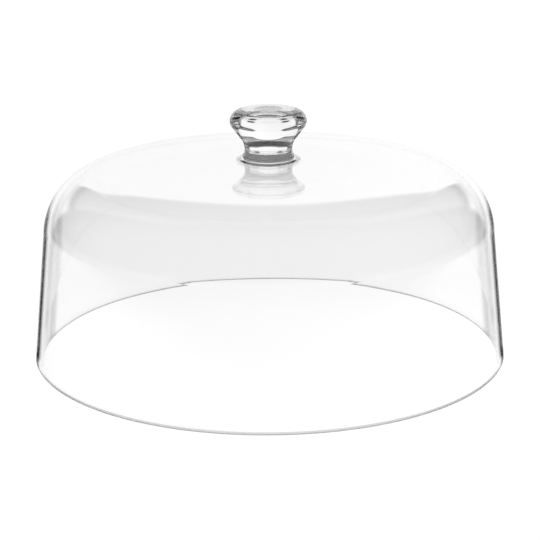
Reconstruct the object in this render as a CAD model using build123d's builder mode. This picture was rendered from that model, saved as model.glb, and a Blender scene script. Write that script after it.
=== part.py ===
"""Glass display dome with a solid glass knob, in millimetres.

The dome stands rim down on the plane Z = 0 with its axis on Z. It is three
solids of revolution: the blown shell, the pad of glass that welds the knob to
the crown, and the pressed knob. Each one seats face to face on the one below.
"""
from build123d import *
from math import acos, asin, atan2, degrees, hypot, radians, sqrt, tan
import os

# Dome shell, outside sizes
rim_diameter = 300.0
crown_height = 125.4
crown_flat_radius = 2000.0  # the middle of the crown is nearly flat
crown_flat_diameter = 112.0  # where the nearly flat middle ends
crown_blend_radius = 300.0  # from there out to the shoulder
shoulder_radius = 37.0
wall_draft = 5.7  # degrees that the side wall leans in
wall = 4.0
rim_round = 1.6  # fire-polished edges, either side of the flat that it stands on

# Weld pad, the glass that spread out under the hot knob
pad_spread = 2.8  # how far it reaches out past the foot
pad_thickness = 0.6  # on the axis
pad_edge_round = 0.45

# Knob
knob_height = 31.4
knob_diameter = 48.0
knob_top_radius = 165.0  # the slightly domed top
bulb_round = 6.5  # the thick edge between the top and the cone
neck_diameter = 29.8
neck_height = 6.0  # the narrowest place, above the seat
neck_round = 10.3  # the hollow that sweeps from the cone into the foot
foot_height = 2.2
foot_lip = 0.57  # how far the foot stands out from the neck's hollow
foot_step_round = 0.3
foot_edge_round = 0.9
dimple_diameter = 18.4  # shallow hollow polished into the top
dimple_depth = 0.8

# Places worked out from the sizes
rim_radius = rim_diameter / 2
flat_angle = degrees(asin(crown_flat_diameter / 2 / crown_flat_radius))
blend_sweep = 35.0  # runs on past the side wall, which cuts it
seat_height = crown_height + pad_thickness  # where the knob stands
knob_top = seat_height + knob_height

# The knob's outline is a top arc, a bulb arc, a straight cone and a neck arc, all tangent
bulb_x = knob_diameter / 2 - bulb_round
top_centre_z = knob_top - knob_top_radius
bulb_z = top_centre_z + sqrt((knob_top_radius - bulb_round) ** 2 - bulb_x**2)
bulb_end = degrees(atan2(bulb_z - top_centre_z, bulb_x))

# The neck's arc can't be so large that no room is left for the cone
neck_z = seat_height + neck_height
neck_inset = bulb_x - neck_diameter / 2
cone_rise = bulb_z - neck_z
largest_neck = (neck_inset**2 + cone_rise**2 - bulb_round**2) / (2 * (bulb_round + neck_inset))
neck_hollow = min(neck_round, 0.9 * largest_neck)
neck_x = neck_diameter / 2 + neck_hollow
arcs_apart = hypot(neck_x - bulb_x, cone_rise)
cone_turn = degrees(acos((bulb_round + neck_hollow) / arcs_apart))
cone_lean = degrees(atan2(cone_rise, neck_x - bulb_x)) - cone_turn

# The foot starts where the neck's arc meets it, and the pad spreads out past the foot
foot_top = seat_height + foot_height
neck_drop = neck_z - foot_top
neck_start = 180 - cone_lean
neck_end = 180 + degrees(asin(neck_drop / neck_hollow))
foot_radius = neck_x - sqrt(neck_hollow**2 - neck_drop**2) + foot_lip
pad_radius = foot_radius + pad_spread

# A sphere cuts the hollow in the knob's top
dimple_radius = ((dimple_diameter / 2) ** 2 + dimple_depth**2) / (2 * dimple_depth)
dimple_rim_z = top_centre_z + sqrt(knob_top_radius**2 - (dimple_diameter / 2) ** 2)

# The dome shell: its outside is turned as a solid, then hollowed to the wall
with BuildPart() as dome_shell:
    with BuildSketch(Plane.XZ) as outside:
        with BuildLine():
            flat = JernArc((0, crown_height), (1, 0), crown_flat_radius, -flat_angle)
            blend = JernArc(flat @ 1, flat % 1, crown_blend_radius, -blend_sweep)
            Polyline(blend @ 1, ((blend @ 1).X, 0), (0, 0), flat @ 0)
        make_face()
        with BuildLine():
            Polyline(
                (0, 0),
                (rim_radius, 0),
                (rim_radius - crown_height * tan(radians(wall_draft)), crown_height),
                (0, crown_height),
                close=True,
            )
        make_face(mode=Mode.INTERSECT)
        shoulder = outside.vertices().sort_by(Axis.X)[-2]
        fillet(shoulder, shoulder_radius)
    revolve(axis=Axis.Z)
    offset(amount=-wall, openings=dome_shell.faces().sort_by(Axis.Z)[0])
    rim_edges = dome_shell.edges().group_by(Axis.Z)[0]
    fillet(rim_edges, min(rim_round, 0.45 * wall))

# The weld pad: flat on top for the knob, and below it follows the crown
with BuildPart() as weld_pad:
    with BuildSketch(Plane.XZ) as pad_section:
        with BuildLine():
            under = JernArc((0, crown_height), (1, 0), crown_flat_radius, -flat_angle)
            Polyline(under @ 1, ((under @ 1).X, seat_height), (0, seat_height), under @ 0)
        make_face()
        with Locations((0, crown_height)):
            Rectangle(2 * pad_radius, 4 * pad_thickness, mode=Mode.INTERSECT)
        pad_edge = pad_section.vertices().group_by(Axis.X)[-1].sort_by(Axis.Y)[-1]
        fillet(pad_edge, min(pad_edge_round, 0.75 * pad_thickness))
    revolve(axis=Axis.Z)

# The knob: solid, with its foot flat on the pad
with BuildPart() as knob:
    with BuildSketch(Plane.XZ):
        with BuildLine():
            CenterArc((0, top_centre_z), knob_top_radius, bulb_end, 90 - bulb_end)
            bulb = CenterArc((bulb_x, bulb_z), bulb_round, -cone_lean, cone_lean + bulb_end)
            neck = CenterArc((neck_x, neck_z), neck_hollow, neck_start, neck_end - neck_start)
            Line(bulb @ 0, neck @ 0)
            FilletPolyline(
                neck @ 1,
                (foot_radius, foot_top),
                (foot_radius, seat_height),
                (0, seat_height),
                radius=(min(foot_step_round, 0.5 * foot_lip), min(foot_edge_round, 0.45 * foot_height)),
            )
            Line((0, seat_height), (0, knob_top))
        make_face()
        with Locations((0, dimple_rim_z - dimple_depth + dimple_radius)):
            Circle(dimple_radius, mode=Mode.SUBTRACT)
    revolve(axis=Axis.Z)

os.makedirs("parts", exist_ok=True)
dome_shell.part.label = "dome_shell"
weld_pad.part.label = "weld_pad"
knob.part.label = "knob"
export_step(dome_shell.part, "parts/dome_shell.step")
export_step(weld_pad.part, "parts/weld_pad.step")
export_step(knob.part, "parts/knob.step")
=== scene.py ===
"""Low glass display dome with a solid glass knob, on a white table in a studio for glass.

Each of the three glass pieces is one turned outline. They meet at two hot welds, where light
goes on from piece to piece as in one body. The weld under the knob carries painted shade as well.
"""

from math import acos, asin, atan2, cos, hypot, pi, radians, sin, sqrt

import bmesh
import bpy
from mathutils import Matrix, Vector


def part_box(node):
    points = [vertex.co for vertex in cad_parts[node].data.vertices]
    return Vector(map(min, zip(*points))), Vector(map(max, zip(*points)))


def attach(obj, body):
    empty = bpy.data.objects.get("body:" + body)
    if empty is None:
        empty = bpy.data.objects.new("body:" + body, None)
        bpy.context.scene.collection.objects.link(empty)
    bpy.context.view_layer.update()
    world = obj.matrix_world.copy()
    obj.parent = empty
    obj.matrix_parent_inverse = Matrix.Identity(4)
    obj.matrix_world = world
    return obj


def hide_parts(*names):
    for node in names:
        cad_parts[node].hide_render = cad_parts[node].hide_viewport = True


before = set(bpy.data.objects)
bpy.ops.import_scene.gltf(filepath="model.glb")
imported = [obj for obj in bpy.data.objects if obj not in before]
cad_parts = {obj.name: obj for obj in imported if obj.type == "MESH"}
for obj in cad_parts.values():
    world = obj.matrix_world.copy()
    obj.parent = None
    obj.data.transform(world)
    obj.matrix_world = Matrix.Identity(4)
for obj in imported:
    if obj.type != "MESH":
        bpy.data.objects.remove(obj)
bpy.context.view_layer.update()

MM = 0.001

# ---------------------------------------------------------------- sizes, in mm
shell_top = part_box("dome_shell")[1] / MM
pad_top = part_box("weld_pad")[1] / MM
knob_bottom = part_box("knob")[0] / MM

# Shell
CROWN_HEIGHT = shell_top.z
RIM_RADIUS = 150.0  # where the side wall's outside would meet the table
CROWN_FLAT_RADIUS = 2000.0
CROWN_FLAT_END = 56.0
CROWN_BLEND_RADIUS = 300.0
SHOULDER_RADIUS = 37.0
WALL_DRAFT = radians(5.7)
WALL = 4.0
RIM_ROUND = 1.6
GROUND_HEIGHT = 1.2  # up to here the rim is ground matt
SHELL_SEGMENTS = 384

# Weld pad, the gathered ring of glass that the knob is welded on
PAD_RADIUS = pad_top.x
PAD_TOP = pad_top.z
PAD_FLAT_RADIUS = 16.6  # from here it runs out in a soft curve to nothing

# Knob
SEAT_HEIGHT = knob_bottom.z
KNOB_RADIUS = 24.0
KNOB_HEIGHT = 31.4  # before the hollow is ground into its top
KNOB_TOP_RADIUS = 165.0
BULB_ROUND = 6.5
NECK_RADIUS = 14.9
NECK_HEIGHT = 6.0
NECK_ROUND = 10.3
FOOT_RADIUS = 16.2
FOOT_HEIGHT = 2.2
FOOT_STEP_ROUND = 0.28
FOOT_EDGE_ROUND = 0.9
DIMPLE_RADIUS = 9.2
DIMPLE_DEPTH = 0.8
DIMPLE_EDGE_ROUND = 0.8
KNOB_SEGMENTS = 256

WELD_CLEARANCE = 0.01  # keeps the clear faces of a weld apart by a hair
SEAT_DEPTH = 0.005  # faces this near the knob's underside belong to its weld
ON_AXIS = 0.01  # a vertex this near the axis is put on it
MERGE_DISTANCE = 0.002
SHARP_ANGLE = radians(24)  # a crease turns sharper than this
LEVEL = 0.9  # a face whose normal rises or falls this much lies flat


# ---------------------------------------------------------------- turning
class Outline:
    """Half a section in the XZ plane, in mm, drawn on from one vertex."""

    def __init__(self, radius, height):
        self.mesh = bmesh.new()
        self.tip = bmesh.ops.create_vert(self.mesh, co=(radius, 0, height))["vert"][0]

    def line(self, radius, height, steps=1):
        start = self.tip.co.copy()
        goal = Vector((radius, 0, height))
        for step in range(1, steps + 1):
            grown = bmesh.ops.extrude_vert_indiv(self.mesh, verts=[self.tip])
            self.tip = grown["verts"][0]
            self.tip.co = start.lerp(goal, step / steps)

    def arc(self, centre_radius, centre_height, sweep, steps):
        """Turns the tip about a centre by sweep radians, clockwise with the axis on the left."""
        grown = bmesh.ops.spin(
            self.mesh,
            geom=[self.tip],
            cent=(centre_radius, 0, centre_height),
            axis=(0, 1, 0),
            angle=sweep,
            steps=steps,
        )
        self.tip = next(item for item in grown["geom_last"] if isinstance(item, bmesh.types.BMVert))

    def turned(self, segments):
        """Spins the outline about the Z axis into a closed body."""
        mesh = self.mesh
        for vert in mesh.verts:
            if vert.co.x < ON_AXIS:
                vert.co.x = 0
        bmesh.ops.spin(
            mesh,
            geom=mesh.verts[:] + mesh.edges[:],
            cent=(0, 0, 0),
            axis=(0, 0, 1),
            angle=2 * pi,
            steps=segments,
            use_merge=True,
        )
        bmesh.ops.remove_doubles(mesh, verts=mesh.verts[:], dist=MERGE_DISTANCE)
        bmesh.ops.recalc_face_normals(mesh, faces=mesh.faces[:])
        return mesh


def glass_piece(mesh, node, finishes, finish_at):
    """Gives the faces of a turned body their finish and stands it in for its CAD node."""
    for face in mesh.faces:
        face.smooth = True
        face.material_index = finish_at(face.calc_center_median(), face.normal)
    bmesh.ops.scale(mesh, vec=(MM, MM, MM), verts=mesh.verts[:])
    data = bpy.data.meshes.new(node + "_glass")
    mesh.to_mesh(data)
    mesh.free()
    data.set_sharp_from_angle(angle=SHARP_ANGLE)
    for finish in finishes:
        data.materials.append(finish)
    piece = bpy.data.objects.new(node + "_glass", data)
    bpy.context.scene.collection.objects.link(piece)
    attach(piece, "root")
    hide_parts(node)
    return piece


# ---------------------------------------------------------------- pieces
def shell_body():
    """Nearly flat crown, blend, round shoulder and drafted wall, as one even wall of glass."""
    flat_centre = CROWN_HEIGHT - CROWN_FLAT_RADIUS
    flat_lean = asin(CROWN_FLAT_END / CROWN_FLAT_RADIUS)
    reach = CROWN_FLAT_RADIUS - CROWN_BLEND_RADIUS
    blend = Vector((reach * sin(flat_lean), flat_centre + reach * cos(flat_lean)))

    out = Vector((cos(WALL_DRAFT), sin(WALL_DRAFT)))
    foot = Vector((RIM_RADIUS, 0))
    reach = CROWN_BLEND_RADIUS - SHOULDER_RADIUS
    above_wall = acos(((foot - blend).dot(out) - SHOULDER_RADIUS) / reach)
    shoulder_lean = pi / 2 - WALL_DRAFT - above_wall
    shoulder = blend + reach * Vector((sin(shoulder_lean), cos(shoulder_lean)))

    outer_rim = Vector((RIM_RADIUS - RIM_ROUND * (1 + out.y) / out.x, RIM_ROUND))
    inner_rim = outer_rim - Vector(((WALL - 2 * RIM_ROUND) / out.x, 0))
    outer_wall_end = outer_rim + RIM_ROUND * out
    inner_wall_top = shoulder + (SHOULDER_RADIUS - WALL) * out

    outline = Outline(0, CROWN_HEIGHT)
    outline.arc(0, flat_centre, flat_lean, 14)
    outline.arc(blend.x, blend.y, shoulder_lean - flat_lean, 22)
    outline.arc(shoulder.x, shoulder.y, pi / 2 - WALL_DRAFT - shoulder_lean, 34)
    outline.line(outer_wall_end.x, outer_wall_end.y, 20)
    outline.arc(outer_rim.x, outer_rim.y, pi / 2 + WALL_DRAFT, 12)
    outline.line(inner_rim.x, 0, 2)
    outline.arc(inner_rim.x, inner_rim.y, pi / 2 - WALL_DRAFT, 12)
    outline.line(inner_wall_top.x, inner_wall_top.y, 20)
    outline.arc(shoulder.x, shoulder.y, shoulder_lean + WALL_DRAFT - pi / 2, 34)
    outline.arc(blend.x, blend.y, flat_lean - shoulder_lean, 22)
    outline.arc(0, flat_centre, -flat_lean, 14)
    return outline.turned(SHELL_SEGMENTS)


def shell_finish(at, normal):
    """0 is the pressed glass, 1 the weld on the crown, 2 the ground rim."""
    if normal.z > LEVEL and hypot(at.x, at.y) < PAD_RADIUS:
        return 1
    return 2 if at.z < GROUND_HEIGHT else 0


def pad_body():
    """A thin disc with a rounded edge, its underside to the curve of the crown."""
    flat_centre = CROWN_HEIGHT - CROWN_FLAT_RADIUS
    under = CROWN_FLAT_RADIUS + WELD_CLEARANCE
    lean = asin(PAD_RADIUS / under)
    top = PAD_TOP - WELD_CLEARANCE
    edge = flat_centre + under * cos(lean)
    drop = (top - edge) / 2
    across = PAD_RADIUS - PAD_FLAT_RADIUS
    bend = (across**2 / 4 + drop**2) / (2 * drop)
    turn = asin(across / 2 / bend)
    outline = Outline(0, top)
    outline.line(PAD_FLAT_RADIUS, top, 12)
    outline.arc(PAD_FLAT_RADIUS, top - bend, turn, 10)
    outline.arc(PAD_RADIUS, edge + bend, -turn, 10)
    outline.arc(0, flat_centre, -lean, 12)
    return outline.turned(KNOB_SEGMENTS)


def pad_finish(at, normal):
    """0 is the gathered glass, 1 its underside on the crown, 2 the seat of the knob."""
    if normal.z < -LEVEL:
        return 1
    return 2 if hypot(at.x, at.y) < FOOT_RADIUS - FOOT_EDGE_ROUND else 0


def knob_body():
    """Pressed bulb on a waisted neck and a stepped foot, with a ground and polished hollow on top."""
    top = SEAT_HEIGHT + KNOB_HEIGHT
    top_centre = top - KNOB_TOP_RADIUS
    bulb_radius = KNOB_RADIUS - BULB_ROUND
    reach = KNOB_TOP_RADIUS - BULB_ROUND
    bulb_lean = asin(bulb_radius / reach)
    bulb = Vector((bulb_radius, top_centre + reach * cos(bulb_lean)))
    neck = Vector((NECK_RADIUS + NECK_ROUND, SEAT_HEIGHT + NECK_HEIGHT))
    gap = neck - bulb
    cone_lean = asin((BULB_ROUND + NECK_ROUND) / gap.length) - atan2(gap.x, -gap.y)

    dimple_rim = top_centre + sqrt(KNOB_TOP_RADIUS**2 - DIMPLE_RADIUS**2)
    dimple_sphere = (DIMPLE_RADIUS**2 + DIMPLE_DEPTH**2) / (2 * DIMPLE_DEPTH)
    dimple_centre = dimple_rim - DIMPLE_DEPTH + dimple_sphere
    from_dimple = dimple_sphere + DIMPLE_EDGE_ROUND
    from_top = KNOB_TOP_RADIUS - DIMPLE_EDGE_ROUND
    apart = dimple_centre - top_centre
    edge_height = (from_top**2 - from_dimple**2 + apart**2) / (2 * apart)
    edge = Vector((sqrt(from_top**2 - edge_height**2), top_centre + edge_height))
    dimple_lean = asin(edge.x / from_dimple)
    top_lean = asin(edge.x / from_top)

    foot_top = SEAT_HEIGHT + FOOT_HEIGHT
    foot_drop = asin((neck.y - foot_top) / NECK_ROUND)

    outline = Outline(0, dimple_centre - dimple_sphere)
    outline.arc(0, dimple_centre, -dimple_lean, 24)
    outline.arc(edge.x, edge.y, dimple_lean + top_lean, 8)
    outline.arc(0, top_centre, bulb_lean - top_lean, 24)
    outline.arc(bulb.x, bulb.y, pi / 2 + cone_lean - bulb_lean, 48)
    cone_end = neck + NECK_ROUND * Vector((-cos(cone_lean), sin(cone_lean)))
    outline.line(cone_end.x, cone_end.y, 12)
    outline.arc(neck.x, neck.y, -cone_lean - foot_drop, 32)
    outline.line(FOOT_RADIUS - FOOT_STEP_ROUND, foot_top, 3)
    outline.arc(FOOT_RADIUS - FOOT_STEP_ROUND, foot_top - FOOT_STEP_ROUND, pi / 2, 6)
    outline.line(FOOT_RADIUS, SEAT_HEIGHT + FOOT_EDGE_ROUND, 3)
    outline.arc(FOOT_RADIUS - FOOT_EDGE_ROUND, SEAT_HEIGHT + FOOT_EDGE_ROUND, pi / 2, 10)
    outline.line(0, SEAT_HEIGHT, 12)
    return outline.turned(KNOB_SEGMENTS)


def knob_finish(at, normal):
    """0 is the pressed glass, 1 the weld on the pad, 2 the hollow on top."""
    if at.z < SEAT_HEIGHT + SEAT_DEPTH:
        return 1
    return 2 if hypot(at.x, at.y) < DIMPLE_RADIUS else 0


# ---------------------------------------------------------------- materials
def linear(hex_colour):
    """An sRGB hex value as a linear colour."""
    parts = [int(hex_colour[at : at + 2], 16) / 255 for at in (1, 3, 5)]
    return [p / 12.92 if p <= 0.04045 else ((p + 0.055) / 1.055) ** 2.4 for p in parts] + [1]


def add_node(tree, kind, inputs=None, **settings):
    """Adds a node. Each input is given a value, or the output that it is linked from."""
    node = tree.nodes.new(kind)
    for name, value in settings.items():
        setattr(node, name, value)
    for name, value in (inputs or {}).items():
        if isinstance(value, bpy.types.NodeSocket):
            tree.links.new(value, node.inputs[name])
        else:
            node.inputs[name].default_value = value
    return node


def new_material(name):
    material = bpy.data.materials.new(name)
    material.use_nodes = True
    material.node_tree.nodes.clear()
    return material, material.node_tree


def clear_glass(name, tint_and_painted_shade, painted_edge_shade, edge_width, ior, roughness, wave_mm, wave_height_mm):
    """Clear glass that darkens with painted shade to a darker edge colour where it is seen at a slant,
    over edge_width from 0 to 1.

    The darker edge is painted shade, for the dark that the glass shows where it is seen edge on. The
    surface has low waves, wave_mm long and wave_height_mm high.
    """
    material, tree = new_material(name)
    place = add_node(tree, "ShaderNodeTexCoord").outputs["Object"]
    wave = add_node(
        tree,
        "ShaderNodeTexNoise",
        {"Vector": place, "Scale": 1 / (wave_mm * MM), "Detail": 1.0, "Roughness": 0.4},
    )
    bump = add_node(
        tree,
        "ShaderNodeBump",
        {"Height": wave.outputs["Fac"], "Strength": 1.0, "Distance": wave_height_mm * MM},
    )
    # Painted shade: the colour darkens towards the edges that are seen at a slant.
    slant = add_node(tree, "ShaderNodeLayerWeight", {"Blend": 0.5}).outputs["Facing"]
    edge_shade_amount = add_node(tree, "ShaderNodeMath", {0: slant, 1: 1 / edge_width}, operation="POWER").outputs[0]
    colour = add_node(
        tree,
        "ShaderNodeMix",
        {"Factor": edge_shade_amount, 6: linear(tint_and_painted_shade), 7: linear(painted_edge_shade)},
        data_type="RGBA",
    )
    surface = add_node(
        tree,
        "ShaderNodeBsdfPrincipled",
        {
            "Base Color": colour.outputs[2],
            "Transmission Weight": 1.0,
            "IOR": ior,
            "Roughness": roughness,
            "Normal": bump.outputs["Normal"],
        },
    )
    add_node(tree, "ShaderNodeOutputMaterial", {"Surface": surface.outputs["BSDF"]})
    return material


def fused_seam(name, painted_shade_cover):
    """Hot weld between two pieces: light runs on through it, less what a layer of painted dark grey
    shade holds back.
    """
    material, tree = new_material(name)
    surface = add_node(
        tree,
        "ShaderNodeBsdfPrincipled",
        {"Base Color": linear("#1c1e1d"), "Roughness": 0.5, "Specular IOR Level": 0.0, "Alpha": painted_shade_cover},
    )
    add_node(tree, "ShaderNodeOutputMaterial", {"Surface": surface.outputs["BSDF"]})
    return material


# ---------------------------------------------------------------- studio
WHITE_LIGHT = 1.06  # of the table and of the room past the glass, a little over plain white
TABLE_SIZE = 6.0  # half its side, in metres
TABLE_HEIGHT = -0.0005  # just under the rim, in metres


def white_table():
    """Plain pale table that only the camera sees: the glass sees the table of LIGHTS instead."""
    mesh = bmesh.new()
    bmesh.ops.create_grid(mesh, x_segments=1, y_segments=1, size=TABLE_SIZE)
    bmesh.ops.translate(mesh, vec=(0, 0, TABLE_HEIGHT), verts=mesh.verts[:])
    data = bpy.data.meshes.new("white_table")
    mesh.to_mesh(data)
    mesh.free()
    material, tree = new_material("backlit_opal_acrylic")
    glow = add_node(tree, "ShaderNodeEmission", {"Color": linear("#ffffff"), "Strength": WHITE_LIGHT})
    add_node(tree, "ShaderNodeOutputMaterial", {"Surface": glow.outputs[0]})
    data.materials.append(material)
    table = bpy.data.objects.new("white_table", data)
    bpy.context.scene.collection.objects.link(table)
    table.visible_transmission = False
    table.visible_glossy = False
    table.visible_diffuse = False
    table.visible_shadow = False


# Light by direction round the glass, each laid over the ones before it:
# bearing off the back of the table from and to, rise from and to, soft edge, in degrees; light
LIGHTS = {
    "grey ceiling above the sweep": (-1, 40, 20, 58, 3, 0.36),
    "room walls near the table": (-1, 181, -12, 0, 6, 0.38),
    "white sweep behind": (-1, 40, -12, 15, 3, 1.05),
    "table": (-1, 181, -91, -9, 1.5, 1.01),
    "table, near": (-1, 181, -91, -18, 1, 1.08),
    "black cards": (16, 27, -32, -7, 3, 0.0),
}
# The lit middle of the sweep behind the table has the shape of an arch
ARCH_LIGHT = 1.08
ARCH_FOOT = -4  # rise of its lower edge, in degrees
ARCH_TOP = 33  # rise of its top, in degrees
ARCH_FALL = 3.1  # how fast it comes down at the sides, per radian squared
ARCH_SIDE = 45  # bearing of its ends, in degrees
ROOM = 0.02  # light of the dark room between all of these
LEFT_LIGHT = 0.98  # of the whole light, as the left side gets it
RIGHT_EXTRA = 0.05  # and as much more to the right


def studio_world():
    """A dark room lit by LIGHTS. What the camera sees past the glass is plain white."""
    world = bpy.data.worlds.new("glass_studio")
    bpy.context.scene.world = world
    world.use_nodes = True
    tree = world.node_tree
    tree.nodes.clear()

    def calculate(operation, first, second=0.0):
        return add_node(tree, "ShaderNodeMath", {0: first, 1: second}, operation=operation).outputs[0]

    def above(value, angle, soft):
        """Goes from 0 to 1 as the value passes an angle in degrees."""
        ends = {"From Min": radians(angle - soft), "From Max": radians(angle + soft)}
        ramp = add_node(
            tree, "ShaderNodeMapRange", {"Value": value} | ends, interpolation_type="SMOOTHSTEP"
        )
        return ramp.outputs[0]

    direction = add_node(tree, "ShaderNodeTexCoord").outputs["Generated"]
    part = add_node(tree, "ShaderNodeSeparateXYZ", {0: direction}).outputs
    turn = calculate("ARCTAN2", part["X"], part["Y"])
    bearing = calculate("ABSOLUTE", turn)
    rise = calculate("ARCSINE", part["Z"])

    light = ROOM
    for side_from, side_to, low, high, soft, amount in LIGHTS.values():
        across = calculate("SUBTRACT", above(bearing, side_from, soft), above(bearing, side_to, soft))
        up = calculate("SUBTRACT", above(rise, low, soft), above(rise, high, soft))
        if side_from < 0:
            across = calculate("SUBTRACT", 1.0, above(bearing, side_to, soft))
        if low < -90:
            up = calculate("SUBTRACT", 1.0, above(rise, high, soft))
        if side_to > 180:
            across = above(bearing, side_from, soft) if side_from > 0 else 1.0
        where = calculate("MULTIPLY", across, up)
        light = add_node(tree, "ShaderNodeMix", {"Factor": where, 2: light, 3: amount}).outputs[0]

    lowering = calculate("MULTIPLY", ARCH_FALL, calculate("POWER", bearing, 2))
    arched_rise = calculate("ADD", rise, lowering)
    arch = calculate("SUBTRACT", above(rise, ARCH_FOOT, 4), above(arched_rise, ARCH_TOP, 0.8))
    arch = calculate("MAXIMUM", arch, 0.0)
    arch = calculate("MULTIPLY", arch, calculate("SUBTRACT", 1.0, above(bearing, ARCH_SIDE, 2)))
    light = add_node(tree, "ShaderNodeMix", {"Factor": arch, 2: light, 3: ARCH_LIGHT}).outputs[0]

    side_light = add_node(
        tree,
        "ShaderNodeMath",
        {0: above(turn, 2, 8), 1: RIGHT_EXTRA, 2: LEFT_LIGHT},
        operation="MULTIPLY_ADD",
    ).outputs[0]
    light = calculate("MULTIPLY", light, side_light)
    seen = add_node(tree, "ShaderNodeLightPath").outputs["Is Camera Ray"]
    light = add_node(tree, "ShaderNodeMix", {"Factor": seen, 2: light, 3: WHITE_LIGHT}).outputs[0]
    background = add_node(
        tree, "ShaderNodeBackground", {"Color": linear("#ffffff"), "Strength": light}
    )
    add_node(tree, "ShaderNodeOutputWorld", {"Surface": background.outputs[0]})


# Camera, in metres and degrees
CAMERA_TARGET = Vector((0, 0, 0.05263))
CAMERA_DISTANCE = 1.178
CAMERA_ELEVATION = 17.108
CAMERA_ROLL = -0.413
CAMERA_LENS = 123.36  # in mm, on a sensor 36 mm wide
CAMERA_SHIFT = 0.00133


def camera():
    elevation = radians(CAMERA_ELEVATION)
    away = Vector((0, -cos(elevation), sin(elevation)))
    data = bpy.data.cameras.new("camera")
    data.sensor_width = 36
    data.lens = CAMERA_LENS
    data.shift_x = CAMERA_SHIFT
    data.clip_start = 0.05
    data.clip_end = 50
    eye = bpy.data.objects.new("camera", data)
    bpy.context.scene.collection.objects.link(eye)
    turn = (-away).to_track_quat("-Z", "Y").to_matrix().to_4x4()
    roll = Matrix.Rotation(radians(CAMERA_ROLL), 4, "Z")
    place = Matrix.Translation(CAMERA_TARGET + CAMERA_DISTANCE * away)
    eye.matrix_world = place @ turn @ roll
    bpy.context.scene.camera = eye


def look():
    """Plain colours, and enough bounces for light to find its way out of solid glass."""
    scene = bpy.context.scene
    scene.view_settings.view_transform = "Standard"
    scene.view_settings.look = "None"
    scene.cycles.max_bounces = 40
    scene.cycles.transmission_bounces = 40
    scene.cycles.glossy_bounces = 24
    scene.cycles.transparent_max_bounces = 40
    scene.cycles.caustics_reflective = True
    scene.cycles.caustics_refractive = True
    scene.cycles.blur_glossy = 0.0


look()
camera()
white_table()
studio_world()

# Hot weld of the pad on the crown: the glass is one there, and nothing of the weld shows.
crown_seam = fused_seam("hot_weld_clear_seam", 0.0)

# Hot weld of the knob on its pad, with painted shade: a dark grey layer stands in for the dark that
# is seen in the foot of the knob.
knob_seam_painted_shade = fused_seam("hot_weld_seam_painted_shade", 0.35)

# Soda-lime glass, pressed in a mould and fire-polished: clear, with a sharp gloss, a painted shade
# line where the wall is seen edge on, and long, very low waves.
shell_glass = clear_glass(
    "pressed_soda_lime_glass_shell", "#fbfbfb", "#4c4e4d", 0.125, 1.52, 0.0, 60, 0.04
)

# The same glass, ground flat on a wet wheel: a matt line round the bottom, darkened to grey by painted
# shade, with painted shade at its slanted edges. Its grit of about 0.1 mm is too fine to show, and is
# drawn 2 mm coarse.
rim_glass_painted_shade = clear_glass(
    "ground_soda_lime_glass_rim_painted_shade", "#c4c4c4", "#6c6e6d", 0.125, 1.52, 0.4, 2, 0.01
)

# Soda-lime glass gathered hot and left to flow: as clear and glossy as the shell, with painted shade
# at its slanted edges and shorter waves where it ran out.
pad_glass = clear_glass(
    "gathered_soda_lime_glass_pad", "#fbfbfb", "#6c6e6d", 0.125, 1.52, 0.0, 12, 0.04
)

# Solid soda-lime glass, pressed and fire-polished: a bright lens with painted shade, nearly black, at
# its edges, where the way through the glass is longest.
knob_glass = clear_glass(
    "pressed_soda_lime_glass_knob", "#f8f8f8", "#0c0d0d", 0.2, 1.52, 0.0, 20, 0.02
)

# The hollow on the knob, ground with a wheel and part polished: a softer gloss and short waves from
# the wheel, with painted grey shade over it and at its slanted edges.
hollow_glass_painted_shade = clear_glass(
    "ground_soda_lime_glass_hollow_painted_shade", "#8c8e8d", "#4c4e4d", 0.125, 1.52, 0.03, 4, 0.01
)

shell_finishes = [shell_glass, crown_seam, rim_glass_painted_shade]
pad_finishes = [pad_glass, crown_seam, knob_seam_painted_shade]
knob_finishes = [knob_glass, knob_seam_painted_shade, hollow_glass_painted_shade]
glass_piece(shell_body(), "dome_shell", shell_finishes, shell_finish)
glass_piece(pad_body(), "weld_pad", pad_finishes, pad_finish)
glass_piece(knob_body(), "knob", knob_finishes, knob_finish)
